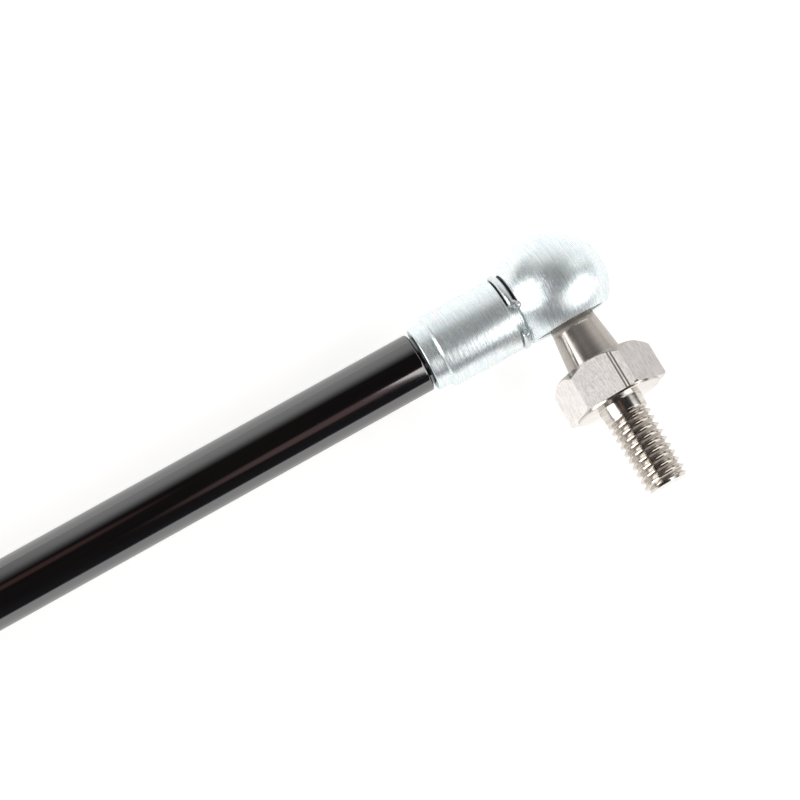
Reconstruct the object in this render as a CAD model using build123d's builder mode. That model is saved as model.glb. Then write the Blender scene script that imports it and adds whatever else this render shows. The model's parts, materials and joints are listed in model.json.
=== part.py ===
from build123d import *
import os
from math import radians, sqrt, tan

# Gas strut stay: a pressure tube, a sliding rod with its piston, and a ball joint at each end.
# The strut lies along X with its tube end first, and its studs point along -Y.
# The rod-end stud leans a little in its socket, which shows the play of the ball joint.
# The origin is on the tube-end stud's axis, in the plane of the face that seats on the bracket.

# Driving dimensions
STROKE = 100.0
EXTENDED_LENGTH = 285.0  # from ball centre to ball centre
TUBE_LENGTH = 140.0
TUBE_RADIUS = 9.0
TUBE_WALL = 1.2
ROD_RADIUS = 4.0
END_THREAD_RADIUS = 4.0  # M8, joins each socket to the rod or the end plug
BALL_RADIUS = 5.0
RUNNING_GAP = 0.05  # radial, between pieces that turn or slide on each other

# Ball stud, measured from the ball's centre along the stud
SEAT = 17.4  # the face that sits on the bracket
STUD_THREAD_RADIUS = 3.0  # M6
STUD_LENGTH = 29.3
TIP_CHAMFER = 0.6
SEAT_RADIUS = 5.8
SEAT_HEIGHT = 0.25
HEX_TOP = 11.7
HEX_ACROSS_FLATS = 12.0
HEX_TURN = 14  # degrees from facing straight up, towards -X
HEX_CHAMFER_START = 5.85  # radius where the top chamfer begins
HEX_CHAMFER_ANGLE = 45
HEX_EDGE_BREAK = 0.25
CONE_RADIUS = 3.8  # of the shank where it meets the hexagon
CONE_SLOPE = 0.118  # radius gained per millimetre of shank
STUD_LEAN = {"tube_end": 0, "rod_end": 9.5}  # degrees from straight out of the socket
LEAN_TOWARDS = {"tube_end": 0, "rod_end": -6.5}  # degrees from facing up, towards +X

# Ball socket, measured from the ball's centre along the strut
SOCKET_LENGTH = 19.1
SOCKET_RADIUS = 7.45
OPENING_DEPTH = 5.0
LIP_CHAMFER = 0.25
NECK_START = 5.65
NECK_END = 7.1
NECK_RADIUS = 4.3
SLEEVE_END = 17.1
SLEEVE_RADIUS = 5.05
SPIGOT_RADIUS = 4.45
SOCKET_CHAMFER = 0.25
BORE_BOTTOM = 8.0
BORE_CHAMFER = 0.2

# Neck clip, and the snap ring that holds the ball in
CLIP_WIRE_RADIUS = 0.5
CLIP_START = 4  # degrees round the neck, from its side towards the closed top of the socket
CLIP_ARC = 306
CLIP_HOOK = 0.95
SNAP_WIRE_RADIUS = 0.6
SNAP_DEPTH = 2.8
SNAP_ARC = 330
SNAP_ROOM = 0.65  # lets the ring spread when the ball is pressed in

# Rod and piston
ROD_CHAMFER = 0.35
RELIEF_RADIUS = 3.3
RELIEF_WIDTH = 0.45  # the part of the relief that shows outside the socket
RELIEF_DEPTH = 0.6  # the part inside the socket
THREAD_PLAY = 0.5  # from a thread's end to the bottom of its bore
SPIGOT_FOR_PISTON = 3.0
RIVET_RADIUS = 3.8
RIVET_LENGTH = 1.2
PISTON_RADIUS = 7.5
PISTON_LENGTH = 6.0
GAS_HOLE_RADIUS = 0.7
GAS_HOLE_CIRCLE = 4.8
GAS_HOLE_COUNT = 3
PISTON_GROOVE_RADIUS = 6.1
PISTON_RING_WIDTH = 2.0
PISTON_RING_ARC = 352
DISC_RADIUS = 6.8
DISC_THICKNESS = 0.8
BLEED_WIDTH = 0.8  # slot that always lets a little gas past the disc
BLEED_START = 4.0
PISTON_WASHER_RADIUS = 5.6
PISTON_WASHER_THICKNESS = 1.0
END_STOP_GAP = 0.1  # from the piston to the seal washer, fully extended
LEAST_ROOM = 0.5  # from the rod to the end plug, fully pushed in

# Guide, seals and end plug
GUIDE_LENGTH = 8.0
WIPER_LENGTH = 1.8
WIPER_RADIUS = 6.0
WIPER_LIP_ROOT = 1.0  # thickness of the lip where it leaves the wiper
WIPER_LIP_TIP = 0.3
SEAL_LENGTH = 5.0
SEAL_LIP_POCKET = 2.4  # depth of the ring-shaped pocket that the gas presses open
SEAL_WASHER_THICKNESS = 1.6
WASHER_ROD_GAP = 0.3
PLUG_LENGTH = 8.0
PLUG_TO_SOCKET = 0.5
O_RING_RADIUS = 0.74
O_RING_GROOVE_DEPTH = 1.5
O_RING_GROOVE_WIDTH = 1.9
O_RING_PLACE = 2.2  # from the pressurised face of the guide or plug
ROLL_LENGTH = 1.4  # thickness of the tube wall rolled in over the guide and the plug
ROLL_RADIUS = 6.6
ROLL_FILLET = 1.1
BEAD_DEPTH = 0.45  # groove rolled into the tube round the guide
BEAD_FLAT = 0.7
BEAD_WIDTH = 1.8
BEAD_PLACE = 5.6  # from the guide's inner face

# Places along X
BALL_X = {"tube_end": 0.0, "rod_end": EXTENDED_LENGTH}
BORE_RADIUS = TUBE_RADIUS - TUBE_WALL
TUBE_START = SOCKET_LENGTH + PLUG_TO_SOCKET
TUBE_END = TUBE_START + TUBE_LENGTH
PLUG_START = TUBE_START + ROLL_LENGTH
PLUG_END = PLUG_START + PLUG_LENGTH
GUIDE_END = TUBE_END - ROLL_LENGTH
GUIDE_START = GUIDE_END - GUIDE_LENGTH
SEAL_START = GUIDE_START - SEAL_LENGTH
SEAL_WASHER_START = SEAL_START - SEAL_WASHER_THICKNESS
PISTON_END = SEAL_WASHER_START - END_STOP_GAP
PISTON_START = PISTON_END - PISTON_LENGTH
DISC_START = PISTON_START - DISC_THICKNESS
PISTON_WASHER_START = DISC_START - PISTON_WASHER_THICKNESS
ROD_START = PISTON_WASHER_START - RIVET_LENGTH
ROD_SHOULDER = EXTENDED_LENGTH - SOCKET_LENGTH - RELIEF_WIDTH
PISTON_RING_START = PISTON_START + (PISTON_LENGTH - PISTON_RING_WIDTH) / 2
BEAD_X = GUIDE_START + BEAD_PLACE

room_left = ROD_START - STROKE - PLUG_END
assert room_left > LEAST_ROOM, f"the rod would reach the plug: {room_left:.2f} mm left"

# The strut's plane: X runs along the strut, Y is the radius of what is turned about it
STRUT = Plane(origin=(0, SEAT, 0), x_dir=(1, 0, 0), z_dir=(0, 0, 1))
STRUT_AXIS = Axis(STRUT.origin, STRUT.x_dir)

os.makedirs("parts", exist_ok=True)


def save(piece, name):
    """Label a finished piece and write it as its own STEP file."""
    piece.part.label = name
    export_step(piece.part, f"parts/{name}.step")
    print(f"{name}: {piece.part.volume:.1f} mm3")


def ring(start, end, inner, outer, mode=Mode.ADD):
    """Draw the section of a ring, from start to end along the strut, in the open sketch."""
    with Locations(((start + end) / 2, (inner + outer) / 2)):
        Rectangle(end - start, outer - inner, mode=mode)


def bead(radius, mode):
    """Draw the section of the rolled bead below the given radius in the open sketch."""
    bottom = radius - BEAD_DEPTH
    corners = [
        (BEAD_X - BEAD_WIDTH / 2, radius),
        (BEAD_X - BEAD_FLAT / 2, bottom),
        (BEAD_X + BEAD_FLAT / 2, bottom),
        (BEAD_X + BEAD_WIDTH / 2, radius),
    ]
    Polygon(*corners, align=None, mode=mode)


def o_ring_groove(centre):
    """Cut an O-ring groove, seen in section, from the open sketch."""
    half = O_RING_GROOVE_WIDTH / 2
    ring(centre - half, centre + half, BORE_RADIUS - O_RING_GROOVE_DEPTH, BORE_RADIUS, Mode.SUBTRACT)


# ---------------------------------------------------------------- pressure tube
with BuildPart() as pressure_tube:
    with BuildSketch(STRUT):
        ring(TUBE_START, TUBE_END, ROLL_RADIUS, TUBE_RADIUS)
        ring(PLUG_START, GUIDE_END, ROLL_RADIUS, BORE_RADIUS, Mode.SUBTRACT)
        bead(TUBE_RADIUS, Mode.SUBTRACT)
        bead(BORE_RADIUS, Mode.ADD)
    revolve(axis=STRUT_AXIS)
    rims = pressure_tube.edges().filter_by(GeomType.CIRCLE)
    rims = rims.filter_by(lambda edge: edge.radius > BORE_RADIUS).sort_by(Axis.X)
    fillet([rims[0], rims[-1]], ROLL_FILLET)
save(pressure_tube, "pressure_tube")

# ---------------------------------------------------------------- end plug with its threaded post
with BuildPart() as end_plug:
    with BuildSketch(STRUT):
        ring(BORE_BOTTOM + THREAD_PLAY, TUBE_START, 0, END_THREAD_RADIUS)
        ring(TUBE_START, PLUG_START, 0, ROLL_RADIUS)
        ring(PLUG_START, PLUG_END, 0, BORE_RADIUS)
        o_ring_groove(PLUG_END - O_RING_PLACE)
    revolve(axis=STRUT_AXIS)
save(end_plug, "end_plug")

# ---------------------------------------------------------------- O-rings round the plug and the guide
O_RING_CENTRE = BORE_RADIUS - O_RING_GROOVE_DEPTH / 2
for name, x in (("end_plug_seal", PLUG_END - O_RING_PLACE), ("guide_seal", GUIDE_START + O_RING_PLACE)):
    with BuildPart() as o_ring:
        with BuildSketch(STRUT):
            with Locations((x, O_RING_CENTRE)):
                Circle(O_RING_RADIUS)
        revolve(axis=STRUT_AXIS)
    save(o_ring, name)

# ---------------------------------------------------------------- rod guide
with BuildPart() as rod_guide:
    with BuildSketch(STRUT):
        ring(GUIDE_START, GUIDE_END, ROD_RADIUS + RUNNING_GAP, BORE_RADIUS)
        ring(GUIDE_END - WIPER_LENGTH, GUIDE_END, ROD_RADIUS, WIPER_RADIUS, Mode.SUBTRACT)
        o_ring_groove(GUIDE_START + O_RING_PLACE)
        bead(BORE_RADIUS, Mode.SUBTRACT)
    revolve(axis=STRUT_AXIS)
save(rod_guide, "rod_guide")

# ---------------------------------------------------------------- rod wiper, lip outwards
with BuildPart() as rod_wiper:
    with BuildSketch(STRUT):
        start = GUIDE_END - WIPER_LENGTH
        inner = ROD_RADIUS + RUNNING_GAP
        lip = GUIDE_END + ROLL_LENGTH / 2
        profile = [
            (start, inner),
            (start, WIPER_RADIUS),
            (GUIDE_END, WIPER_RADIUS),
            (GUIDE_END, inner + WIPER_LIP_ROOT),
            (lip, inner + WIPER_LIP_TIP),
            (lip, inner),
        ]
        Polygon(*profile, align=None)
    revolve(axis=STRUT_AXIS)
save(rod_wiper, "rod_wiper")

# ---------------------------------------------------------------- rod seal and the washer behind it
with BuildPart() as rod_seal:
    with BuildSketch(STRUT):
        inner = ROD_RADIUS + RUNNING_GAP
        pocket = (BORE_RADIUS - inner) / 3
        ring(SEAL_START, GUIDE_START, inner, BORE_RADIUS)
        ring(SEAL_START, SEAL_START + SEAL_LIP_POCKET, inner + pocket, BORE_RADIUS - pocket, Mode.SUBTRACT)
    revolve(axis=STRUT_AXIS)
save(rod_seal, "rod_seal")

with BuildPart() as seal_washer:
    with BuildSketch(STRUT):
        ring(SEAL_WASHER_START, SEAL_START, ROD_RADIUS + WASHER_ROD_GAP, BORE_RADIUS)
    revolve(axis=STRUT_AXIS)
save(seal_washer, "seal_washer")

# ---------------------------------------------------------------- piston rod
ROD_THREAD_START = ROD_SHOULDER + RELIEF_WIDTH + RELIEF_DEPTH
ROD_THREAD_END = EXTENDED_LENGTH - BORE_BOTTOM - THREAD_PLAY
with BuildPart() as piston_rod:
    with BuildSketch(STRUT):
        profile = [
            (ROD_START, 0),
            (ROD_START, RIVET_RADIUS),
            (PISTON_WASHER_START, RIVET_RADIUS),
            (PISTON_WASHER_START, SPIGOT_FOR_PISTON),
            (PISTON_END, SPIGOT_FOR_PISTON),
            (PISTON_END, ROD_RADIUS),
            (ROD_SHOULDER - ROD_CHAMFER, ROD_RADIUS),
            (ROD_SHOULDER, ROD_RADIUS - ROD_CHAMFER),
            (ROD_SHOULDER, RELIEF_RADIUS),
            (ROD_THREAD_START, RELIEF_RADIUS),
            (ROD_THREAD_START, END_THREAD_RADIUS),
            (ROD_THREAD_END, END_THREAD_RADIUS),
            (ROD_THREAD_END, 0),
        ]
        Polygon(*profile, align=None)
    revolve(axis=STRUT_AXIS)
save(piston_rod, "piston_rod")

# ---------------------------------------------------------------- piston, its ring, disc and washer
with BuildPart() as piston_body:
    with BuildSketch(STRUT):
        ring(PISTON_START, PISTON_END, SPIGOT_FOR_PISTON, PISTON_RADIUS)
        groove_end = PISTON_RING_START + PISTON_RING_WIDTH
        ring(PISTON_RING_START, groove_end, PISTON_GROOVE_RADIUS, PISTON_RADIUS, Mode.SUBTRACT)
    revolve(axis=STRUT_AXIS)
    with BuildSketch(Plane(origin=(PISTON_START, SEAT, 0), z_dir=(1, 0, 0))):
        with PolarLocations(GAS_HOLE_CIRCLE, GAS_HOLE_COUNT):
            Circle(GAS_HOLE_RADIUS)
    extrude(amount=PISTON_LENGTH, mode=Mode.SUBTRACT)
save(piston_body, "piston_body")

with BuildPart() as piston_ring:
    with BuildSketch(STRUT):
        start = PISTON_RING_START + RUNNING_GAP
        end = PISTON_RING_START + PISTON_RING_WIDTH - RUNNING_GAP
        ring(start, end, PISTON_GROOVE_RADIUS + RUNNING_GAP, BORE_RADIUS - RUNNING_GAP)
    revolve(axis=STRUT_AXIS, revolution_arc=PISTON_RING_ARC)
save(piston_ring, "piston_ring")

with BuildPart() as orifice_disc:
    with BuildSketch(Plane(origin=(DISC_START, SEAT, 0), z_dir=(1, 0, 0))):
        Circle(DISC_RADIUS)
        Circle(SPIGOT_FOR_PISTON, mode=Mode.SUBTRACT)
        with Locations((BLEED_START, 0)):
            Rectangle(DISC_RADIUS, BLEED_WIDTH, align=(Align.MIN, Align.CENTER), mode=Mode.SUBTRACT)
    extrude(amount=DISC_THICKNESS)
save(orifice_disc, "orifice_disc")

with BuildPart() as piston_washer:
    with BuildSketch(STRUT):
        ring(PISTON_WASHER_START, DISC_START, SPIGOT_FOR_PISTON, PISTON_WASHER_RADIUS)
    revolve(axis=STRUT_AXIS)
save(piston_washer, "piston_washer")


# ---------------------------------------------------------------- the ball joint at each end
SNAP_CENTRE = sqrt((BALL_RADIUS + SNAP_WIRE_RADIUS + RUNNING_GAP) ** 2 - SNAP_DEPTH**2)
SNAP_GROOVE_HALF = SNAP_WIRE_RADIUS + RUNNING_GAP
CLIP_X = (NECK_START + NECK_END) / 2
CLIP_CENTRE = NECK_RADIUS + CLIP_WIRE_RADIUS
HEX_CORNER = HEX_ACROSS_FLATS / sqrt(3)
HEX_OUTSIDE = HEX_CORNER + 1  # clear of the hexagon's corners
HEX_BOTTOM = SEAT - SEAT_HEIGHT


def cone_meets_ball():
    """Radius and depth at which the stud's conical shank runs into its ball."""
    at_centre = CONE_RADIUS - CONE_SLOPE * HEX_TOP
    a = 1 + CONE_SLOPE**2
    b = at_centre * CONE_SLOPE
    depth = (sqrt(b * b - a * (at_centre**2 - BALL_RADIUS**2)) - b) / a
    return at_centre + CONE_SLOPE * depth, -depth


for end, ball_x in BALL_X.items():
    inward = 1 if end == "tube_end" else -1
    # X runs from the ball towards the middle of the strut, and -Y along the stud
    joint = Plane(origin=(ball_x, SEAT, 0), x_dir=(inward, 0, 0), z_dir=(0, 0, inward))
    strut_axis = Axis(joint.origin, joint.x_dir)
    opening_axis = Axis(joint.origin, joint.y_dir)
    # the clip's section stands where the clip begins, on the side that faces up at the rod end
    clip_plane = joint.rotated((CLIP_START - 90, 0, 0))

    lean, towards = STUD_LEAN[end], LEAN_TOWARDS[end]
    stud_plane = joint.rotated((0, -towards, 0)).rotated((-lean, 0, 0)).rotated((0, towards, 0))
    stud_axis = Axis(stud_plane.origin, stud_plane.y_dir)

    with BuildPart() as ball_socket:
        with BuildSketch(joint):
            with BuildLine():
                sphere_edge = sqrt(SOCKET_RADIUS**2 - NECK_START**2)
                RadiusArc((-SOCKET_RADIUS, 0), (0, SOCKET_RADIUS), SOCKET_RADIUS)
                RadiusArc((0, SOCKET_RADIUS), (NECK_START, sphere_edge), SOCKET_RADIUS)
                Polyline(
                    (NECK_START, sphere_edge),
                    (NECK_START, NECK_RADIUS),
                    (NECK_END, NECK_RADIUS),
                    (NECK_END, SLEEVE_RADIUS),
                    (SLEEVE_END - SOCKET_CHAMFER, SLEEVE_RADIUS),
                    (SLEEVE_END, SLEEVE_RADIUS - SOCKET_CHAMFER),
                    (SLEEVE_END, SPIGOT_RADIUS),
                    (SOCKET_LENGTH - SOCKET_CHAMFER, SPIGOT_RADIUS),
                    (SOCKET_LENGTH, SPIGOT_RADIUS - SOCKET_CHAMFER),
                    (SOCKET_LENGTH, 0),
                    (-SOCKET_RADIUS, 0),
                )
            make_face()
        revolve(axis=strut_axis)
        # flat face round the opening
        with BuildSketch(joint):
            with Locations(((NECK_START - SOCKET_RADIUS) / 2, -OPENING_DEPTH)):
                Rectangle(NECK_START + SOCKET_RADIUS, SOCKET_RADIUS, align=(Align.CENTER, Align.MAX))
        extrude(amount=SOCKET_RADIUS, both=True, mode=Mode.SUBTRACT)
        # ball pocket with the snap ring's groove
        with BuildSketch(joint):
            pocket = BALL_RADIUS + RUNNING_GAP
            groove = SNAP_CENTRE + SNAP_WIRE_RADIUS + SNAP_ROOM
            with BuildLine():
                RadiusArc((0, pocket), (pocket, 0), pocket)
                Polyline(
                    (pocket, 0),
                    (pocket, SNAP_GROOVE_HALF - SNAP_DEPTH),
                    (groove, SNAP_GROOVE_HALF - SNAP_DEPTH),
                    (groove, -SNAP_GROOVE_HALF - SNAP_DEPTH),
                    (pocket, -SNAP_GROOVE_HALF - SNAP_DEPTH),
                    (pocket, LIP_CHAMFER - OPENING_DEPTH),
                    (pocket + LIP_CHAMFER, -OPENING_DEPTH),
                    (0, -OPENING_DEPTH),
                    (0, pocket),
                )
            make_face()
        revolve(axis=opening_axis, mode=Mode.SUBTRACT)
        # threaded bore, shown at its full diameter
        with BuildSketch(joint):
            bore = [
                (BORE_BOTTOM, 0),
                (BORE_BOTTOM, END_THREAD_RADIUS),
                (SOCKET_LENGTH - BORE_CHAMFER, END_THREAD_RADIUS),
                (SOCKET_LENGTH, END_THREAD_RADIUS + BORE_CHAMFER),
                (SOCKET_LENGTH, 0),
            ]
            Polygon(*bore, align=None)
        revolve(axis=strut_axis, mode=Mode.SUBTRACT)
        # notch for the clip's bent end
        notch_plane = Plane(origin=clip_plane.from_local_coords((NECK_START, CLIP_CENTRE, 0)),
                            z_dir=joint.x_dir)
        with BuildSketch(notch_plane):
            Circle(CLIP_WIRE_RADIUS + RUNNING_GAP)
        extrude(amount=-CLIP_HOOK, mode=Mode.SUBTRACT)
    save(ball_socket, f"{end}_socket")

    with BuildPart() as clip:
        with BuildSketch(clip_plane):
            with Locations((CLIP_X, CLIP_CENTRE)):
                Circle(CLIP_WIRE_RADIUS)
        revolve(axis=strut_axis, revolution_arc=CLIP_ARC)
        elbow = Plane(origin=clip_plane.from_local_coords((CLIP_X, CLIP_CENTRE, 0)), z_dir=joint.x_dir)
        with Locations(elbow):
            Sphere(CLIP_WIRE_RADIUS)
        with BuildSketch(elbow):
            Circle(CLIP_WIRE_RADIUS)
        extrude(amount=-CLIP_HOOK)
    save(clip, f"{end}_clip")

    with BuildPart() as snap_ring:
        with BuildSketch(joint):
            with Locations((SNAP_CENTRE, -SNAP_DEPTH)):
                Circle(SNAP_WIRE_RADIUS)
        revolve(axis=opening_axis, revolution_arc=SNAP_ARC)
    save(snap_ring, f"{end}_snap_ring")

    with BuildPart() as ball_stud:
        # hexagon, with its corners chamfered
        hex_top = stud_plane.from_local_coords((0, -HEX_TOP, 0))
        hex_plane = Plane(origin=hex_top, x_dir=stud_plane.x_dir, z_dir=-stud_plane.y_dir)
        with BuildSketch(hex_plane):
            RegularPolygon(HEX_ACROSS_FLATS / 2, 6, major_radius=False, rotation=HEX_TURN)
        extrude(amount=HEX_BOTTOM - HEX_TOP)
        with BuildSketch(stud_plane):
            slope = tan(radians(HEX_CHAMFER_ANGLE))
            broken = HEX_CORNER - HEX_EDGE_BREAK
            turned = [
                (0, -HEX_TOP),
                (HEX_CHAMFER_START, -HEX_TOP),
                (HEX_OUTSIDE, -HEX_TOP - (HEX_OUTSIDE - HEX_CHAMFER_START) * slope),
                (HEX_OUTSIDE, -HEX_BOTTOM + (HEX_OUTSIDE - broken) * slope),
                (broken, -HEX_BOTTOM),
                (0, -HEX_BOTTOM),
            ]
            Polygon(*turned, align=None)
        revolve(axis=stud_axis, mode=Mode.INTERSECT)
        # ball, shank, seat and thread, turned in one piece with it
        with BuildSketch(stud_plane):
            neck = cone_meets_ball()
            with BuildLine():
                RadiusArc((0, BALL_RADIUS), (BALL_RADIUS, 0), BALL_RADIUS)
                RadiusArc((BALL_RADIUS, 0), neck, BALL_RADIUS)
                Polyline(
                    neck,
                    (CONE_RADIUS, -HEX_TOP),
                    (CONE_RADIUS, -HEX_BOTTOM),
                    (SEAT_RADIUS, -HEX_BOTTOM),
                    (SEAT_RADIUS, -SEAT),
                    (STUD_THREAD_RADIUS, -SEAT),
                    (STUD_THREAD_RADIUS, TIP_CHAMFER - STUD_LENGTH),
                    (STUD_THREAD_RADIUS - TIP_CHAMFER, -STUD_LENGTH),
                    (0, -STUD_LENGTH),
                    (0, BALL_RADIUS),
                )
            make_face()
        revolve(axis=stud_axis)
    save(ball_stud, f"{end}_ball_stud")
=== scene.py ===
import json
import math

import bmesh
import bpy
from mathutils import Matrix, Quaternion, Vector

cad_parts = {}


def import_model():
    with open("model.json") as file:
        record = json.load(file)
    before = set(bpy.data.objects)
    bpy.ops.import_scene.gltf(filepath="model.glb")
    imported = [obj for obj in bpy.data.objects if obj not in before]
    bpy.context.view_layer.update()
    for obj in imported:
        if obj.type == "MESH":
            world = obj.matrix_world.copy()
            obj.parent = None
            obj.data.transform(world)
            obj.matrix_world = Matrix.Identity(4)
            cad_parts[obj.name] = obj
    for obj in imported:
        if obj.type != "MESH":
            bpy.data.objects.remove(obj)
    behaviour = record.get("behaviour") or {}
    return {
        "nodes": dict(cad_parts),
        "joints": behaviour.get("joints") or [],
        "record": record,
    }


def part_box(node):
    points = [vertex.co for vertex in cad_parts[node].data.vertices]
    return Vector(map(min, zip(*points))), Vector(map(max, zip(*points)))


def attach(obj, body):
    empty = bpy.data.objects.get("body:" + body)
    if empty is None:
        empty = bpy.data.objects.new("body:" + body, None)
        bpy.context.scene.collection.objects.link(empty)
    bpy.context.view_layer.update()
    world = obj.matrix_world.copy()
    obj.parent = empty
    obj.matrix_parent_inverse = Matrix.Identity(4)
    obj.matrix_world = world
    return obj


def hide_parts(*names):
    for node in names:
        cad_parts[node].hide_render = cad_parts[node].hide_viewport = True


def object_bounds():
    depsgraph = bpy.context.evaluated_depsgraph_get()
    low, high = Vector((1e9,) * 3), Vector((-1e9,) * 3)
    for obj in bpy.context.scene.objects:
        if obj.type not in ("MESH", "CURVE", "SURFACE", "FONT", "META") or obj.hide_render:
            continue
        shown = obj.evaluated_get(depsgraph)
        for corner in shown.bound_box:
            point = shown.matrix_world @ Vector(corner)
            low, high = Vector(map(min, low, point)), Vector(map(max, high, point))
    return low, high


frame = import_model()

MM = 0.001
CAD_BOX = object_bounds()

# ------------------------------------------------------------------ places, all from the frame
STRUT_Y = sum(c.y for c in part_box("pressure_tube")) / 2
TUBE = [c.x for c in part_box("pressure_tube")]
TUBE_RADIUS = (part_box("pressure_tube")[1].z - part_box("pressure_tube")[0].z) / 2
JOINTS = {joint["name"]: joint for joint in frame["joints"]}
MOUNTS = {mount["name"]: mount for mount in frame["record"]["mounts"]}
ENDS = {}
for end, inward, body in (("tube_end", 1, "cylinder"), ("rod_end", -1, "rod")):
    ball = Vector(JOINTS[f"{end}_swivel"]["pos_m"])
    stud = Vector(MOUNTS[f"{end}_stud_thread"]["axis"])
    ENDS[end] = {"ball": ball, "inward": inward, "body": body, "stud": stud}
ROD_BALL = ENDS["rod_end"]["ball"]
FLOOR = CAD_BOX[0].z

# ------------------------------------------------------------------ sizes, in millimetres
# Ball socket, measured from the ball's centre
SOCKET_RADIUS = 7.45
OPENING = 5.0
POCKET = 5.05
MOUTH_CHAMFER = (0.25, 0.22)  # depth and width, inside the opening
NECK = (5.65, 7.1)
NECK_RADIUS = 4.3
NECK_ROOT = 5.3  # inside the head, so that neck and head join
SLEEVE_RADIUS = 5.05
SLEEVE_END = 17.1
SPIGOT_RADIUS = 4.45
SOCKET_END = 19.1
THREAD_BORE = 4.0
THREAD_BORE_DEPTH = 3.0
BORE_CHAMFER = (0.35, 0.2)
GROOVE_BEVEL = 0.14  # along the edge where the clip's groove meets the head

# Clip in the neck's groove; its angles run round the neck
CLIP_WIRE = 0.5
CLIP_ANGLES = (4, 310)
CLIP_BEND = 0.45  # radius of the bend in the end that turns towards the ball
CLIP_TAIL = 0.35
GROOVE_SHADE_ANGLES = (4, 250)  # where the groove beside the wire is painted dark, as painted shade

# Ball stud, measured along it from the ball's centre
BALL_RADIUS = 5.0
SHANK = (2.9, 3.8)  # radius at the ball and at the hexagon
SHANK_FOOT = (0.25, 0.22)  # height and width of the flare where the shank meets the hexagon
HEX_TOP = 11.7
HEX_BOTTOM = 17.15
HEX_FLAT = 6.0
HEX_TURN = math.radians(14)
HEX_CHAMFER_START = 5.85
HEX_CHAMFER = math.radians(45)
HEX_BREAK_RADIUS = 6.68
HEX_OVERLAP = (0.2, 0.3)  # how far its end faces run inside the shank and the seat
TOOL_MARKS = [math.radians(angle) for angle in (262.2, 265.6)]
TOOL_MARK_HALF = math.radians(0.9)
TOOL_MARK_DEPTH = 0.13
# painted light: from here to the tip the stud takes a lighter copy of its steel
LIT_COPY_START = HEX_BOTTOM - 0.4
SEAT = 17.4
SEAT_RADIUS = 5.8
THREAD_START = 19.2
THREAD_RADIUS = 2.93
THREAD_ROOT = 2.33
PITCH = 1.0
ROOT_EDGE = 0.94  # where the root's flat ends, on a scale from 0 at the crest's middle to 1 at the root's
FLANK = 0.72  # share of the same scale that the flank takes
RUN_OUT = 0.5
STUD_END = 29.3
TIP_CHAMFER = (0.65, 0.5)  # length and depth

# Rod and tube
ROD_RADIUS = 4.0
RIVET = (1.2, 3.8)  # length and radius of the rod's riveted inner end
ROD_SPIGOT = (9.0, 3.0)  # the thinner stretch that carries the piston
RELIEF = (1.05, 3.3)  # the groove before the rod's thread
RELIEF_GAP = 0.45
ROD_THREAD_CHAMFER = 0.5
TUBE_WALL = 1.2
ROLLED_EDGE = (1.4, 6.6)
GUIDE_LENGTH = 8.0
BEAD_PLACE = 5.6  # from the guide's inner face
BEAD_DEPTH = 0.45
BEAD_HALF = (0.45, 1.1)  # half its width at the bottom and at the tube's surface


# ------------------------------------------------------------------ mesh tools
def end_matrix(end):
    """From an end's own frame (X into the strut, -Y along the stud, millimetres) to the row."""
    at = ENDS[end]
    turn = Matrix.Diagonal((at["inward"], 1, at["inward"], 1))
    return Matrix.Translation(at["ball"]) @ turn @ Matrix.Scale(MM, 4)


def stud_matrix(end):
    """The same, turned so that -Y follows the stud as it leans in its socket."""
    ball = Matrix.Translation(ENDS[end]["ball"])
    lean = Vector((0, -1, 0)).rotation_difference(ENDS[end]["stud"]).to_matrix().to_4x4()
    return ball @ lean @ ball.inverted() @ end_matrix(end)


def new_object(name, mesh, matrix, sharp_angle=35):
    """Link a mesh as an object that stands in the row frame, shaded smooth up to sharp_angle."""
    mesh.transform(matrix)
    bm = bmesh.new()
    bm.from_mesh(mesh)
    bmesh.ops.remove_doubles(bm, verts=bm.verts, dist=1e-8)
    bmesh.ops.dissolve_degenerate(bm, edges=bm.edges, dist=1e-8)
    bmesh.ops.recalc_face_normals(bm, faces=bm.faces)
    bm.to_mesh(mesh)
    bm.free()
    mesh.polygons.foreach_set("use_smooth", [True] * len(mesh.polygons))
    mesh.set_sharp_from_angle(angle=math.radians(sharp_angle))
    obj = bpy.data.objects.new(name, mesh)
    bpy.context.scene.collection.objects.link(obj)
    return obj


def rounded(corners, steps=6):
    """An outline with its corners rounded. A corner is (along, radius) or (along, radius, rounding)."""
    points = []
    for i, corner in enumerate(corners):
        at = Vector(corner[:2])
        rounding = corner[2] if len(corner) > 2 else 0
        if not rounding:
            points.append(at)
            continue
        before = (Vector(corners[i - 1][:2]) - at).normalized()
        after = (Vector(corners[(i + 1) % len(corners)][:2]) - at).normalized()
        half = before.angle(after) / 2
        reach = rounding / math.tan(half)
        centre = at + (before + after).normalized() * (rounding / math.sin(half))
        first = at + before * reach - centre
        last = at + after * reach - centre
        sweep = first.angle_signed(last)
        for k in range(steps + 1):
            spot = first.copy()
            spot.rotate(Matrix.Rotation(-sweep * k / steps, 2))
            points.append(centre + spot)
    return points


def arc(radius, start, stop, steps):
    """Points of an outline on an arc about the ball's centre. Angles in degrees, from the axis."""
    angles = [math.radians(start + (stop - start) * k / steps) for k in range(steps + 1)]
    return [Vector((radius * math.cos(a), radius * math.sin(a))) for a in angles]


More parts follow.
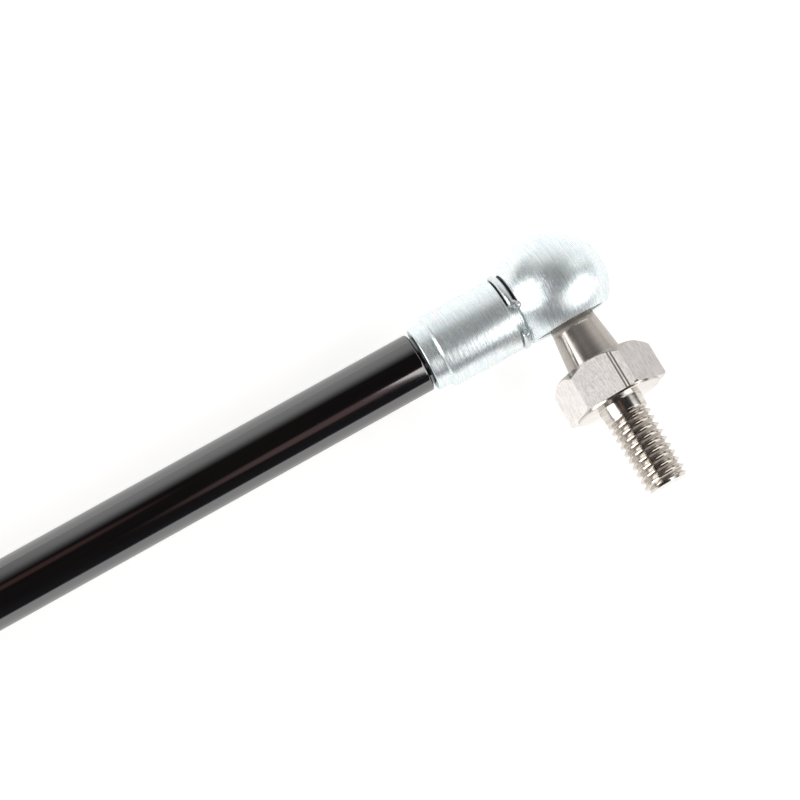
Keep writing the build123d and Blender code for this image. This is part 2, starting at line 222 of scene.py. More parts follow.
def lathe(name, outline, axis="X", segments=160, closed=False):
    """A mesh turned about X or Y from an outline of (along, radius) points."""
    bm = bmesh.new()
    rings = []
    for along, radius in outline:
        if radius < 1e-6:
            rings.append([bm.verts.new(place(axis, along, 0, 0))])
            continue
        turns = [2 * math.pi * k / segments for k in range(segments)]
        rings.append([bm.verts.new(place(axis, along, radius, t)) for t in turns])
    pairs = list(zip(rings, rings[1:]))
    if closed:
        pairs.append((rings[-1], rings[0]))
    for a, b in pairs:
        for k in range(segments):
            n = (k + 1) % segments
            corners = [a[k % len(a)], a[n % len(a)], b[n % len(b)], b[k % len(b)]]
            distinct = list(dict.fromkeys(corners))
            if len(distinct) > 2:
                bm.faces.new(distinct)
    mesh = bpy.data.meshes.new(name)
    bmesh.ops.recalc_face_normals(bm, faces=bm.faces)
    bm.to_mesh(mesh)
    bm.free()
    return mesh


def place(axis, along, radius, turn):
    """A point at a distance along an axis, and at a radius and angle round it."""
    across, up = radius * math.cos(turn), radius * math.sin(turn)
    return (along, across, up) if axis == "X" else (across, -along, up)


def wire(name, path, radius, sides=20):
    """A round wire along a path of points, closed with domed ends."""
    points = [Vector(p) for p in path]
    tangents = [(points[min(i + 1, len(points) - 1)] - points[max(i - 1, 0)]).normalized()
                for i in range(len(points))]
    side = tangents[0].orthogonal().normalized()
    bm = bmesh.new()
    rings = []
    dome = [(-0.95, 0.3), (-0.7, 0.72), (-0.35, 0.93)]  # place before the end, and share of the radius
    stations = [(points[0], tangents[0], a, r) for a, r in dome]
    stations += [(p, t, 0, 1) for p, t in zip(points, tangents)]
    stations += [(points[-1], tangents[-1], -a, r) for a, r in reversed(dome)]
    for centre, tangent, shift, scale in stations:
        side = (side - tangent * side.dot(tangent)).normalized()
        other = tangent.cross(side)
        middle = centre + tangent * shift * radius * 0.5
        rings.append([
            bm.verts.new(middle + (side * math.cos(a) + other * math.sin(a)) * radius * scale)
            for a in (2 * math.pi * k / sides for k in range(sides))
        ])
    for a, b in zip(rings, rings[1:]):
        for k in range(sides):
            n = (k + 1) % sides
            bm.faces.new((a[k], a[n], b[n], b[k]))
    bm.faces.new(rings[0])
    bm.faces.new(rings[-1])
    mesh = bpy.data.meshes.new(name)
    bm.to_mesh(mesh)
    bm.free()
    return mesh


def combine(name, base, *steps):
    """Apply (operation, mesh) boolean steps to a base mesh and return the result."""
    scratch = [bpy.data.objects.new("scratch", base)]
    bpy.context.scene.collection.objects.link(scratch[0])
    for operation, other in steps:
        cutter = bpy.data.objects.new("scratch", other)
        bpy.context.scene.collection.objects.link(cutter)
        scratch.append(cutter)
        modifier = scratch[0].modifiers.new("cut", "BOOLEAN")
        modifier.operation = operation
        modifier.object = cutter
        modifier.solver = "EXACT"
    depsgraph = bpy.context.evaluated_depsgraph_get()
    result = bpy.data.meshes.new_from_object(scratch[0].evaluated_get(depsgraph))
    result.name = name
    for obj in scratch:
        bpy.data.objects.remove(obj)
    return result


# ------------------------------------------------------------------ materials
def new_material(name, colour, metallic, roughness):
    """A material with its Principled shader set; returns the material, its nodes, links and shader."""
    made = bpy.data.materials.new(name)
    made.use_nodes = True
    nodes, links = made.node_tree.nodes, made.node_tree.links
    shader = nodes["Principled BSDF"]
    shader.inputs["Base Color"].default_value = (*colour, 1)
    shader.inputs["Metallic"].default_value = metallic
    shader.inputs["Roughness"].default_value = roughness
    return made, nodes, links, shader


def object_point(nodes, links, scale, offset=(0, 0, 0)):
    """Object coordinates (the row frame, in metres), scaled per axis."""
    coords = nodes.new("ShaderNodeTexCoord")
    mapping = nodes.new("ShaderNodeMapping")
    mapping.inputs["Scale"].default_value = scale
    mapping.inputs["Location"].default_value = offset
    links.new(coords.outputs["Object"], mapping.inputs["Vector"])
    return mapping.outputs["Vector"]


def noise(nodes, links, scale, detail=3.0, rough=0.6, offset=(0, 0, 0)):
    """A noise value from 0 to 1 with its own scale along each axis, in features per metre."""
    texture = nodes.new("ShaderNodeTexNoise")
    texture.inputs["Scale"].default_value = 1.0
    texture.inputs["Detail"].default_value = detail
    texture.inputs["Roughness"].default_value = rough
    links.new(object_point(nodes, links, scale, offset), texture.inputs["Vector"])
    return texture.outputs["Fac"]


def ramp(nodes, links, value, stops):
    """A colour ramp from a list of (position, colour)."""
    made = nodes.new("ShaderNodeValToRGB")
    elements = made.color_ramp.elements
    while len(elements) < len(stops):
        elements.new(0.5)
    for element, (position, colour) in zip(elements, stops):
        element.position = position
        element.color = (*colour, 1)
    links.new(value, made.inputs["Fac"])
    return made.outputs["Color"]


def grey(level):
    """A grey as a colour of three equal parts."""
    return (level, level, level)


def blend_colour(nodes, links, factor, first, second, mode="MIX"):
    """Mix two colours; a number, a tuple or a socket may stand for each input."""
    made = nodes.new("ShaderNodeMix")
    made.data_type = "RGBA"
    made.blend_type = mode
    for name, value in (("Factor", factor), ("A", first), ("B", second)):
        socket = [s for s in made.inputs if s.name == name and s.enabled][0]
        if isinstance(value, bpy.types.NodeSocket):
            links.new(value, socket)
        elif isinstance(value, tuple):
            socket.default_value = (*value, 1)
        else:
            socket.default_value = value
    return [s for s in made.outputs if s.name == "Result" and s.enabled][0]


def calc(nodes, links, operation, first, second):
    """A Math node on numbers or sockets."""
    made = nodes.new("ShaderNodeMath")
    made.operation = operation
    for socket, value in zip(made.inputs, (first, second)):
        if isinstance(value, bpy.types.NodeSocket):
            links.new(value, socket)
        else:
            socket.default_value = value
    return made.outputs["Value"]


def bump(nodes, links, shader, height, strength, distance):
    """Feed a height into the shader's normal, on top of any bump already there."""
    made = nodes.new("ShaderNodeBump")
    made.inputs["Strength"].default_value = strength
    made.inputs["Distance"].default_value = distance
    links.new(height, made.inputs["Height"])
    if shader.inputs["Normal"].is_linked:
        links.new(shader.inputs["Normal"].links[0].from_socket, made.inputs["Normal"])
    links.new(made.outputs["Normal"], shader.inputs["Normal"])


def stretch(nodes, links, shader, amount, direction):
    """Stretch the highlights, as fine parallel marks do, with a row direction as the tangent."""
    axis = nodes.new("ShaderNodeCombineXYZ")
    for socket, value in zip(axis.inputs, direction):
        socket.default_value = value
    links.new(axis.outputs["Vector"], shader.inputs["Tangent"])
    shader.inputs["Anisotropic"].default_value = amount


def zinc_material():
    """Bright blue-white zinc plate over the lathe's turning marks, which run round X."""
    made, nodes, links, shader = new_material("zinc_plate", (0.87, 0.89, 0.90), 0.72, 0.28)
    stretch(nodes, links, shader, 0.5, (1, 0, 0))
    fine = noise(nodes, links, (8500, 420, 420), detail=2.0, rough=0.7)
    coarse = noise(nodes, links, (4200, 240, 240), detail=3.0, rough=0.7, offset=(3, 0, 0))
    lines = calc(nodes, links, "ADD", calc(nodes, links, "MULTIPLY", fine, 0.4),
                 calc(nodes, links, "MULTIPLY", coarse, 0.6))
    clouds = noise(nodes, links, (280, 280, 280), detail=3.0, offset=(0, 7, 0))
    grain = noise(nodes, links, (5200, 5200, 5200), detail=3.0, rough=0.8)
    plate = ramp(nodes, links, lines, [(0.38, (0.80, 0.87, 0.90)), (0.58, (0.95, 0.98, 0.99))])
    tint = ramp(nodes, links, clouds, [
        (0.34, (1.0, 0.95, 0.97)), (0.44, (0.95, 1.0, 1.0)),
        (0.55, (0.99, 1.0, 0.98)), (0.66, (0.94, 0.97, 1.0)),
    ])
    colour = blend_colour(nodes, links, 1.0, plate, tint, "MULTIPLY")
    links.new(colour, shader.inputs["Base Color"])
    rough = ramp(nodes, links, coarse, [(0.35, grey(0.33)), (0.65, grey(0.22))])
    links.new(rough, shader.inputs["Roughness"])
    bump(nodes, links, shader, lines, 1.0, 0.055 * MM)
    bump(nodes, links, shader, grain, 1.0, 0.02 * MM)
    return made


def stainless_turned(name, dark, light, metallic, roughness):
    """Turned stainless steel, with its marks round Y, which is close to the stud's own axis."""
    made, nodes, links, shader = new_material(name, light, metallic, roughness)
    lines = noise(nodes, links, (120, 9000, 120), detail=2.0, rough=0.6)
    clouds = noise(nodes, links, (500, 500, 500), detail=3.0)
    links.new(ramp(nodes, links, lines, [(0.36, dark), (0.64, light)]), shader.inputs["Base Color"])
    rough = ramp(nodes, links, clouds, [(0.3, grey(0.8 * roughness)), (0.7, grey(1.3 * roughness))])
    links.new(rough, shader.inputs["Roughness"])
    bump(nodes, links, shader, lines, 0.1, 0.003 * MM)
    return made


def stainless_drawn():
    """The flats of the drawn hexagon bar: fine lines along the stud and a sparkling grain."""
    made, nodes, links, shader = new_material("stainless_drawn", (0.90, 0.85, 0.81), 0.8, 0.52)
    stretch(nodes, links, shader, 0.85, (1, 0, 0))
    lines = noise(nodes, links, (7500, 420, 7500), detail=2.0, rough=0.7)
    grain = noise(nodes, links, (7000, 7000, 7000), detail=3.0, rough=0.8, offset=(5, 0, 0))
    colour = ramp(nodes, links, lines, [
        (0.34, (0.72, 0.67, 0.64)), (0.5, (0.88, 0.84, 0.81)), (0.66, (0.96, 0.93, 0.91)),
    ])
    pits = ramp(nodes, links, grain, [(0.36, grey(0.62)), (0.44, grey(1.0))])
    links.new(blend_colour(nodes, links, 1.0, colour, pits, "MULTIPLY"), shader.inputs["Base Color"])
    rough = ramp(nodes, links, grain, [(0.3, grey(0.60)), (0.7, grey(0.46))])
    links.new(rough, shader.inputs["Roughness"])
    bump(nodes, links, shader, lines, 0.5, 0.012 * MM)
    bump(nodes, links, shader, grain, 0.8, 0.02 * MM)
    return made


def rod_material():
    """Black nitrided and polished rod, slightly brown, with a few light scuffs."""
    made, nodes, links, shader = new_material("rod_nitride", (0.002, 0.001, 0.001), 0.0, 0.08)
    shader.inputs["IOR"].default_value = 2.25
    streaks = noise(nodes, links, (60, 2500, 2500), detail=3.0)
    scuffs = noise(nodes, links, (700, 1300, 1300), detail=4.0, rough=0.7)
    colour = ramp(nodes, links, streaks, [(0.3, (0.0015, 0.0008, 0.0008)), (0.7, (0.004, 0.002, 0.002))])
    worn = ramp(nodes, links, scuffs, [(0.70, grey(0.0)), (0.78, grey(1.0))])
    colour = blend_colour(nodes, links, worn, colour, (0.05, 0.045, 0.045))
    links.new(colour, shader.inputs["Base Color"])
    rough = ramp(nodes, links, streaks, [(0.3, grey(0.06)), (0.7, grey(0.10))])
    links.new(rough, shader.inputs["Roughness"])
    bump(nodes, links, shader, scuffs, 0.05, 0.01 * MM)
    return made


def paint_material():
    """Stoved black paint on the tube, with a slight orange peel."""
    made, nodes, links, shader = new_material("tube_paint", (0.012, 0.012, 0.013), 0.0, 0.25)
    shader.inputs["Coat Weight"].default_value = 0.5
    shader.inputs["Coat Roughness"].default_value = 0.12
    peel = noise(nodes, links, (900, 900, 900), detail=2.0)
    clouds = noise(nodes, links, (60, 200, 200), detail=3.0)
    colour = ramp(nodes, links, clouds, [(0.3, (0.010, 0.010, 0.011)), (0.7, (0.018, 0.018, 0.019))])
    links.new(colour, shader.inputs["Base Color"])
    rough = ramp(nodes, links, clouds, [(0.3, grey(0.2)), (0.7, grey(0.32))])
    links.new(rough, shader.inputs["Roughness"])
    bump(nodes, links, shader, peel, 0.2, 0.03 * MM)
    return made


def metal(name, dark, light, rough, scale, mark=0.25):
    """A plain machined metal; scale says how close its marks lie along each axis."""
    made, nodes, links, shader = new_material(name, light, 1.0, rough)
    lines = noise(nodes, links, scale, detail=3.0, rough=0.7)
    colour = ramp(nodes, links, lines, [(0.3, dark), (0.7, light)])
    links.new(colour, shader.inputs["Base Color"])
    levels = ramp(nodes, links, lines, [(0.3, grey(rough * 0.8)), (0.7, grey(rough * 1.3))])
    links.new(levels, shader.inputs["Roughness"])
    bump(nodes, links, shader, lines, mark, 0.01 * MM)
    return made


def moulded(name, dark, light, rough):
    """A moulded rubber or plastic, with a fine cast grain."""
    made, nodes, links, shader = new_material(name, light, 0.0, rough)
    grain = noise(nodes, links, (3000, 3000, 3000), detail=3.0)
    links.new(ramp(nodes, links, grain, [(0.3, dark), (0.7, light)]), shader.inputs["Base Color"])
    levels = ramp(nodes, links, grain, [(0.3, grey(rough * 0.85)), (0.7, grey(min(1.0, rough * 1.2)))])
    links.new(levels, shader.inputs["Roughness"])
    bump(nodes, links, shader, grain, 0.2, 0.02 * MM)
    return made


ROUND_X = (6000, 80, 80)
ALL_OVER = (3000, 3000, 3000)
MATERIALS = {
    "zinc_plate": zinc_material(),
    "stainless": stainless_turned("stainless_ground", (0.43, 0.39, 0.35), (0.48, 0.44, 0.40),
                                  0.72, 0.12),
    "rod_nitride": rod_material(),
    "tube_paint": paint_material(),
    "spring_steel": metal("spring_steel", (0.66, 0.70, 0.71), (0.86, 0.89, 0.90),
                          0.38, ALL_OVER, 0.1),
    "plain_steel": metal("plain_steel", (0.36, 0.36, 0.36), (0.5, 0.5, 0.5), 0.3, ROUND_X),
    "guide_brass": metal("guide_brass", (0.6, 0.44, 0.18), (0.76, 0.58, 0.28), 0.25, ROUND_X),
    "piston_alloy": metal("piston_alloy", (0.58, 0.58, 0.6), (0.7, 0.7, 0.72), 0.28, ROUND_X),
    "black_rubber": moulded("black_rubber", (0.012, 0.012, 0.012), (0.025, 0.025, 0.025), 0.6),
    "wiper_plastic": moulded("wiper_plastic", (0.02, 0.02, 0.022), (0.05, 0.05, 0.055), 0.45),
    "ring_plastic": moulded("ring_plastic", (0.6, 0.59, 0.54), (0.78, 0.77, 0.72), 0.4),
}
DRAWN = stainless_drawn()
# painted light: a lighter copy of the stud's steel, for its seat, collar and thread
LIT_STEEL_COPY = stainless_turned("stainless_painted_light", (0.58, 0.54, 0.50), (0.72, 0.68, 0.63), 1.0, 0.18)
# painted shade: a dark copy of the zinc, put in the deep groove beside the clip
PAINTED_GROOVE_SHADE = metal("zinc_groove_painted_shade", (0.05, 0.055, 0.06), (0.12, 0.125, 0.13), 0.5, ROUND_X)


# ------------------------------------------------------------------ pieces
def finish_piece(obj, node, slot, body, *materials):
    """Give a rebuilt piece its materials, by default its slot's material, hide the CAD node it stands for
    and attach it to its body.
    """
    for one in materials or (MATERIALS[slot],):
        obj.data.materials.append(one)
    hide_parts(node)
    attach(obj, body)


def socket_mesh():
    """Ball socket: a hollow head turned about the stud's axis, joined to a sleeve turned about X."""
    rim = math.degrees(math.acos(OPENING / SOCKET_RADIUS))
    head = arc(SOCKET_RADIUS, 180, rim + 1, 90)
    rim_radius = SOCKET_RADIUS * math.sin(math.radians(rim))
    chamfer_depth, chamfer_width = MOUTH_CHAMFER
    head += rounded([
        head[-1], (OPENING, rim_radius, 0.06), (OPENING, POCKET + chamfer_width, 0.05),
        (OPENING - chamfer_depth, POCKET), (0, POCKET),
    ])[1:]
    head += arc(POCKET, 90, 180, 40)[1:]
    neck_start, neck_end = NECK
    chamfer_depth, chamfer_width = BORE_CHAMFER
    bore_end = SOCKET_END - THREAD_BORE_DEPTH
    neck = rounded([
        (NECK_ROOT, 0), (NECK_ROOT, NECK_RADIUS), (neck_end, NECK_RADIUS, 0.08),
        (neck_end, SLEEVE_RADIUS, 0.12), (SLEEVE_END, SLEEVE_RADIUS, 0.3), (SLEEVE_END, SPIGOT_RADIUS, 0.1),
        (SOCKET_END, SPIGOT_RADIUS, 0.2), (SOCKET_END, THREAD_BORE + chamfer_width, 0.08),
        (SOCKET_END - chamfer_depth, THREAD_BORE), (bore_end, THREAD_BORE), (bore_end, 0),
    ])
    edge = math.sqrt(SOCKET_RADIUS**2 - neck_start**2) - 0.12
    inside, outside = 3.5, 9.0  # the cutter reaches past the neck's core and past the head
    groove = [
        (neck_start, inside), (neck_start, edge), (neck_start - GROOVE_BEVEL, edge + GROOVE_BEVEL),
        (neck_start - GROOVE_BEVEL, outside), (outside, outside), (outside, inside),
    ]
    mesh = combine("ball_socket", lathe("head", head, "Y"),
                   ("DIFFERENCE", lathe("groove", groove, "X", closed=True)),
                   ("UNION", lathe("neck", neck, "X")))
    # faces in that part of the groove take the painted shade
    for face in mesh.polygons:
        face.material_index = int(in_painted_groove_shade(face.center))
    return mesh


def in_painted_groove_shade(spot):
    """Whether a point of the socket lies in the part of the clip's groove that is painted dark as shade."""
    turn = math.degrees(math.atan2(spot.y, -spot.z)) % 360
    along_groove = NECK[0] - 0.2 < spot.x < NECK[1] + 0.01
    below_rim = spot.yz.length < SLEEVE_RADIUS - 0.15
    return along_groove and below_rim and GROOVE_SHADE_ANGLES[0] < turn < GROOVE_SHADE_ANGLES[1]


def clip_path():
    """The clip's wire: most of a turn round the neck, and one end bent towards the ball."""
    middle = sum(NECK) / 2
    radius = NECK_RADIUS + CLIP_WIRE
    start, stop = (math.radians(a) for a in CLIP_ANGLES)
    bend_steps, turn_steps = 6, 120
    hook = []
    for k in range(bend_steps + 1):
        a = math.pi / 2 * k / bend_steps
        before = CLIP_BEND * (1 - math.sin(a)) / radius
        hook.append((middle - CLIP_BEND * math.cos(a), start - before))
    turn = [(middle, start + (stop - start) * k / turn_steps) for k in range(1, turn_steps + 1)]
    tail = (middle - CLIP_BEND - CLIP_TAIL, hook[0][1])
    return [(x, radius * math.sin(a), -radius * math.cos(a)) for x, a in [tail] + hook + turn]


def hex_radius(turn, rounding=0.18):
    """Distance from the axis to the side of the hexagon, with rounded corners, at an angle."""
    off_flat = (turn - HEX_TURN) % (math.pi / 3) - math.pi / 6
    from_corner = math.pi / 6 - abs(off_flat)
    centre = (HEX_FLAT - rounding) / math.cos(math.pi / 6)
    aside = centre * math.sin(from_corner)
    if aside < rounding * 0.5:
        return centre * math.cos(from_corner) + math.sqrt(rounding**2 - aside**2)
    nearest = min(abs(turn - mark) for mark in TOOL_MARKS)
    return HEX_FLAT / math.cos(off_flat) - TOOL_MARK_DEPTH * max(0.0, 1 - nearest / TOOL_MARK_HALF)


def hex_turns():
    """Angles round the hexagon, closer together near its corners and at the tool marks."""
    turns = []
    per_side = 40
    for side in range(6):
        for k in range(per_side):
            even = k / per_side
            eased = even - 0.14 * math.sin(2 * math.pi * even)
            turns.append(HEX_TURN + math.pi / 3 * (side + eased))
    for mark in TOOL_MARKS:
        turns = [turn for turn in turns if abs(turn - mark) > TOOL_MARK_HALF]
        turns += [mark - TOOL_MARK_HALF, mark, mark + TOOL_MARK_HALF]
    return sorted(turns)


def hex_outline(turn):
    """Section of the hexagon at one angle: top face, chamfer, side, bottom chamfer, bottom face."""
    side = hex_radius(turn)
    slope = math.tan(HEX_CHAMFER)
    top_edge = HEX_TOP + (side - HEX_CHAMFER_START) * slope
    broken = min(side, HEX_BREAK_RADIUS)
    bottom_edge = HEX_BOTTOM - max(0.0, side - broken) * slope
    return [
        (HEX_TOP, SHANK[1] - HEX_OVERLAP[0]), (HEX_TOP, HEX_CHAMFER_START), (top_edge, side),
        (bottom_edge, side), (HEX_BOTTOM, broken), (HEX_BOTTOM, SEAT_RADIUS - HEX_OVERLAP[1]),
    ]


def stud_mesh():
    """Ball, conical shank, hexagon, seat, plain collar and a real M6 thread.

    Its materials are 0 for ground steel, 1 for the hexagon's drawn sides and 2 for the lower end, a lighter
    copy of the same steel that paints in the brighter light it catches.
    """
    bm = bmesh.new()
    add_hexagon(bm)
    add_lathe(bm, shank_outline())
    add_lathe(bm, collar_outline())
    add_thread(bm)
    for face in bm.faces:
        # the seat, collar and thread take the painted-light copy of the steel
        if face.material_index == 0 and -face.calc_center_median().y > LIT_COPY_START:
            face.material_index = 2
    mesh = bpy.data.meshes.new("ball_stud")
    bm.to_mesh(mesh)
    bm.free()
    return mesh


def add_hexagon(bm):
    """The hexagon's shell, with drawn sides between its chamfers except in the tool marks."""
    turns = hex_turns()
    columns = []
    for turn in turns:
        outline = hex_outline(turn)
        columns.append([bm.verts.new(place("Y", along, radius, turn)) for along, radius in outline])
    for turn, a, b in zip(turns, columns, columns[1:] + columns[:1]):
        # a column starts a face of the mark unless it stands on the mark's last edge
        marked = any(-1.01 < (turn - mark) / TOOL_MARK_HALF < 0.99 for mark in TOOL_MARKS)
        for k in range(len(a) - 1):
            face = bm.faces.new((a[k], a[k + 1], b[k + 1], b[k]))
            on_side = k == 2
            face.material_index = int(on_side and not marked)


def shank_outline():
    """Ball and cone, down to just inside the hexagon's top."""
    meet = math.degrees(math.asin(SHANK[0] / BALL_RADIUS))
    outline = arc(BALL_RADIUS, 180, meet, 80)
    slope = (SHANK[1] - SHANK[0]) / (HEX_TOP - outline[-1].x)
    height, width = SHANK_FOOT
    outline.append(Vector((HEX_TOP - height, SHANK[1] - height * slope)))
    outline.append(Vector((HEX_TOP + 0.05, SHANK[1] + width)))
    return outline


def collar_outline():
    """Washer face under the hexagon and the plain collar above the thread."""
    return rounded([
        (HEX_BOTTOM - HEX_OVERLAP[1], SEAT_RADIUS), (SEAT, SEAT_RADIUS, 0.1),
        (SEAT, THREAD_RADIUS + 0.05, 0.1), (THREAD_START - 0.15, THREAD_RADIUS, 0.03),
        (THREAD_START, THREAD_RADIUS - 0.1),
    ])


def add_lathe(bm, outline, segments=144):
    """Turn an open outline about the stud's axis into the mesh being built."""
    part = lathe("part", outline, "Y", segments)
    bm.from_mesh(part)
    bpy.data.meshes.remove(part)


def thread_radius(along, phase):
    """Radius of the thread at a distance along the stud; phase 0 is the middle of the root."""
    from_crest = abs((phase % 1.0) - 0.5) * 2
    height = min(1.0, max(0.0, (ROOT_EDGE - from_crest) / FLANK))
    depth = THREAD_RADIUS - THREAD_ROOT
    cut = min(1.0, max(0.0, (along - THREAD_START + 0.1) / RUN_OUT))
    radius = THREAD_RADIUS - depth * (1 - height) * cut
    chamfer_length, chamfer_depth = TIP_CHAMFER
    to_tip = min(1.0, (STUD_END - along) / chamfer_length)
    return min(radius, THREAD_RADIUS - chamfer_depth * (1 - to_tip))


def add_thread(bm, segments=120, rows_per_pitch=16):
    """A helical thread whose rows of points follow the helix, from the collar to the tip."""
    start = THREAD_START - 0.1
    turns = math.ceil((STUD_END - start) / PITCH) + 1
    rows = turns * rows_per_pitch
    columns = []
    for i in range(segments + 1):
        turn = 2 * math.pi * i / segments
        column = []
        for k in range(rows + 1):
            raw = start + PITCH * (k / rows_per_pitch - 1 + i / segments)
            along = min(max(raw, start), STUD_END)
            phase = (along - PITCH * i / segments) / PITCH
            column.append(bm.verts.new(place("Y", along, thread_radius(along, phase), turn)))
        columns.append(column)
    for a, b in zip(columns, columns[1:]):
        for k in range(rows):
            bm.faces.new((a[k], a[k + 1], b[k + 1], b[k]))
    ring = [column[-1] for column in columns[:-1]]
    bm.faces.new(ring)


def rod_mesh():
    """Piston rod from its riveted head to its thread in the socket."""
    start, stop = (corner.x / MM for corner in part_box("piston_rod"))
    shoulder = ROD_BALL.x / MM - SOCKET_END - RELIEF_GAP
    rivet_end, rivet_radius = start + RIVET[0], RIVET[1]
    spigot_end, spigot_radius = start + ROD_SPIGOT[0], ROD_SPIGOT[1]
    relief_end, relief_radius = shoulder + RELIEF[0], RELIEF[1]
    outline = rounded([
        (start, 0), (start, rivet_radius, 0.4), (rivet_end, rivet_radius, 0.3), (rivet_end, spigot_radius),
        (spigot_end, spigot_radius), (spigot_end, ROD_RADIUS, 0.1), (shoulder, ROD_RADIUS, 0.35),
        (shoulder, relief_radius), (relief_end, relief_radius), (relief_end, ROD_RADIUS),
        (stop - ROD_THREAD_CHAMFER, ROD_RADIUS), (stop, ROD_RADIUS - ROD_THREAD_CHAMFER), (stop, 0),
    ])
    return lathe("piston_rod", outline, "X", 160)


def tube_mesh():
    """Pressure tube with its rolled-in ends and the bead rolled round the guide."""
    start, stop = TUBE[0] / MM, TUBE[1] / MM
    rolled, lip = ROLLED_EDGE
    outside = TUBE_RADIUS / MM
    inside = outside - TUBE_WALL
    bead = stop - rolled - GUIDE_LENGTH + BEAD_PLACE
    bottom, top = BEAD_HALF
    outline = rounded([
        (start, lip), (start, outside, 1.1), (bead - top, outside, 0.8),
        (bead - bottom, outside - BEAD_DEPTH, 0.5), (bead + bottom, outside - BEAD_DEPTH, 0.5),
        (bead + top, outside, 0.8), (stop, outside, 1.1), (stop, lip, 0.15),
        (stop - rolled, lip), (stop - rolled, inside), (start + rolled, inside), (start + rolled, lip),
    ])
    return lathe("pressure_tube", outline, "X", 192, closed=True)


for end, at in ENDS.items():
    to_row = end_matrix(end)
    socket = new_object(f"{end}_socket_shell", socket_mesh(), to_row, 30)
    # the socket's second material is the painted shade in the groove
    finish_piece(socket, f"{end}_socket", "zinc_plate", at["body"], MATERIALS["zinc_plate"], PAINTED_GROOVE_SHADE)
    clip = new_object(f"{end}_clip_wire", wire("clip", clip_path(), CLIP_WIRE), to_row, 60)
    finish_piece(clip, f"{end}_clip", "spring_steel", at["body"])
    stud = new_object(f"{end}_ball_stud_turned", stud_mesh(), stud_matrix(end), 25)
    finish_piece(stud, f"{end}_ball_stud", "stainless", f"{end}_ball_stud",
                 MATERIALS["stainless"], DRAWN, LIT_STEEL_COPY)

STRUT_TO_ROW = Matrix.Translation((0, STRUT_Y, 0)) @ Matrix.Scale(MM, 4)
rod = new_object("piston_rod_bar", rod_mesh(), STRUT_TO_ROW)
finish_piece(rod, "piston_rod", "rod_nitride", "rod")
tube = new_object("pressure_tube_shell", tube_mesh(), STRUT_TO_ROW)
finish_piece(tube, "pressure_tube", "tube_paint", "cylinder")

# the remaining CAD nodes keep their shape and get a full material
slots = {entry["node"]: entry["material_slot"] for entry in frame["record"]["subparts"]}
for node, obj in frame["nodes"].items():
    obj.data.materials.clear()
    obj.data.materials.append(MATERIALS[slots[node]])


# ------------------------------------------------------------------ stage, light and camera
LIGHT_DISTANCE = 1.2


def floor():
    """A plain white table that the strut lies on."""
    half = 3.0
    mesh = bpy.data.meshes.new("table_top")
    corners = [(-half, -half, FLOOR), (half, -half, FLOOR), (half, half, FLOOR), (-half, half, FLOOR)]
    mesh.from_pydata(corners, [], [(0, 1, 2, 3)])
    obj = bpy.data.objects.new("table_top", mesh)
    bpy.context.scene.collection.objects.link(obj)
    made, _, _, shader = new_material("table_white", (0.75, 0.745, 0.735), 0.0, 0.9)
    shader.inputs["Emission Color"].default_value = (1.0, 0.995, 0.99, 1)
    shader.inputs["Emission Strength"].default_value = 0.57
    shader.inputs["Specular IOR Level"].default_value = 0.1
    mesh.materials.append(made)


def softbox(name, towards, width, height, radiance, roll=0):
    """An area light that faces the rod-end ball from a direction; sizes in metres, roll in degrees."""
    data = bpy.data.lights.new(name, "AREA")
    data.shape = "RECTANGLE"
    data.size, data.size_y = width, height
    data.energy = radiance * math.pi * width * height
    obj = bpy.data.objects.new(name, data)
    bpy.context.scene.collection.objects.link(obj)
    away = Vector(towards).normalized()
    obj.location = ROD_BALL + away * LIGHT_DISTANCE
    obj.rotation_mode = "QUATERNION"
    obj.rotation_quaternion = away.to_track_quat("Z", "Y") @ Quaternion((0, 0, 1), math.radians(roll))


def glow(nodes, links, direction, spread, colour):
    """A soft round patch in the surroundings: full at its middle, gone at spread degrees from it."""
    coords = nodes.new("ShaderNodeTexCoord")
    dot = nodes.new("ShaderNodeVectorMath")
    dot.operation = "DOT_PRODUCT"
    dot.inputs[1].default_value = Vector(direction).normalized()
    links.new(coords.outputs["Generated"], dot.inputs[0])
    level = nodes.new("ShaderNodeMapRange")
    level.interpolation_type = "SMOOTHSTEP"
    level.inputs["From Min"].default_value = math.cos(math.radians(spread))
    level.inputs["From Max"].default_value = 1.0
    links.new(dot.outputs["Value"], level.inputs["Value"])
    return blend_colour(nodes, links, level.outputs["Result"], grey(0.0), colour)


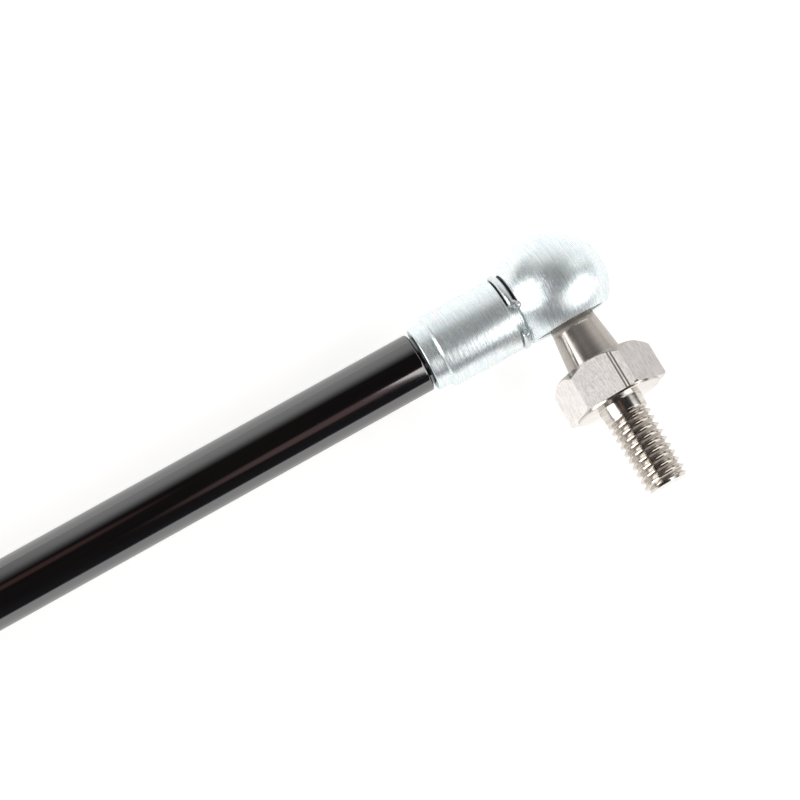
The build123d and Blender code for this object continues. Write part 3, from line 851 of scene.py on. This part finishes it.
def world():
    """Plain studio surroundings: dark overhead, with a pale backdrop that rises behind the table."""
    made = bpy.data.worlds.new("studio")
    bpy.context.scene.world = made
    made.use_nodes = True
    nodes, links = made.node_tree.nodes, made.node_tree.links
    coords = nodes.new("ShaderNodeTexCoord")
    split = nodes.new("ShaderNodeSeparateXYZ")
    links.new(coords.outputs["Generated"], split.inputs["Vector"])
    room = ramp(nodes, links, split.outputs["Z"], [
        (0.0, grey(0.5)), (0.06, (0.03, 0.035, 0.045)), (0.5, (0.02, 0.022, 0.024)),
        (0.8, grey(0.016)), (1.0, grey(0.016)),
    ])
    backdrop = ramp(nodes, links, split.outputs["Z"], [
        (0.0, grey(0.62)), (0.34, grey(0.60)), (0.5, grey(0.55)),
        (0.64, grey(0.36)), (0.77, grey(0.13)), (0.86, grey(0.0)),
    ])
    for axis, start, stop in (("Y", 0.0, 0.5), ("X", -0.5, -0.1)):
        edge = nodes.new("ShaderNodeMapRange")
        edge.interpolation_type = "SMOOTHSTEP"
        edge.inputs["From Min"].default_value = start
        edge.inputs["From Max"].default_value = stop
        links.new(split.outputs[axis], edge.inputs["Value"])
        backdrop = blend_colour(nodes, links, edge.outputs["Result"], grey(0.0), backdrop)
    shade = blend_colour(nodes, links, 1.0, room, backdrop, "ADD")
    for direction, spread, colour in (((0.14, -0.58, 0.80), 15, (0.24, 0.15, 0.15)),
                                      ((-0.20, 0.24, 0.95), 10, (0.12, 0.06, 0.055))):
        patch = glow(nodes, links, direction, spread, colour)
        shade = blend_colour(nodes, links, 1.0, shade, patch, "ADD")
    background = nodes["Background"]
    links.new(shade, background.inputs["Color"])
    background.inputs["Strength"].default_value = 1.5


def camera():
    """Looks almost straight down at the rod end, rolled so that the rod runs up to the right."""
    back = Vector((-0.0645, -0.080, 0.995)).normalized()
    roll = math.radians(29.1)
    along = (Vector((1, 0, 0)) - back * back.x).normalized()
    across = back.cross(along)
    right = along * math.cos(roll) - across * math.sin(roll)
    up = along * math.sin(roll) + across * math.cos(roll)
    data = bpy.data.cameras.new("camera")
    data.lens = 63.0
    data.sensor_width = 36.0
    data.clip_start = 0.01
    obj = bpy.data.objects.new("camera", data)
    bpy.context.scene.collection.objects.link(obj)
    aim = ROD_BALL - right * 19.6 * MM - up * 14.4 * MM
    spot = aim + back * 181 * MM
    turn = Matrix((right, up, back)).transposed().to_4x4()
    obj.matrix_world = Matrix.Translation(spot) @ turn
    bpy.context.scene.camera = obj


floor()
world()
softbox("left_box", (-0.855, 0.12, 0.50), 1.00, 0.88, 4.0)
softbox("right_box", (0.62, -0.53, 0.58), 1.24, 0.84, 3.0, roll=-28)
softbox("right_strip", (0.86, 0.20, 0.47), 0.28, 0.72, 1.1)
camera()
bpy.context.scene.view_settings.view_transform = "Standard"
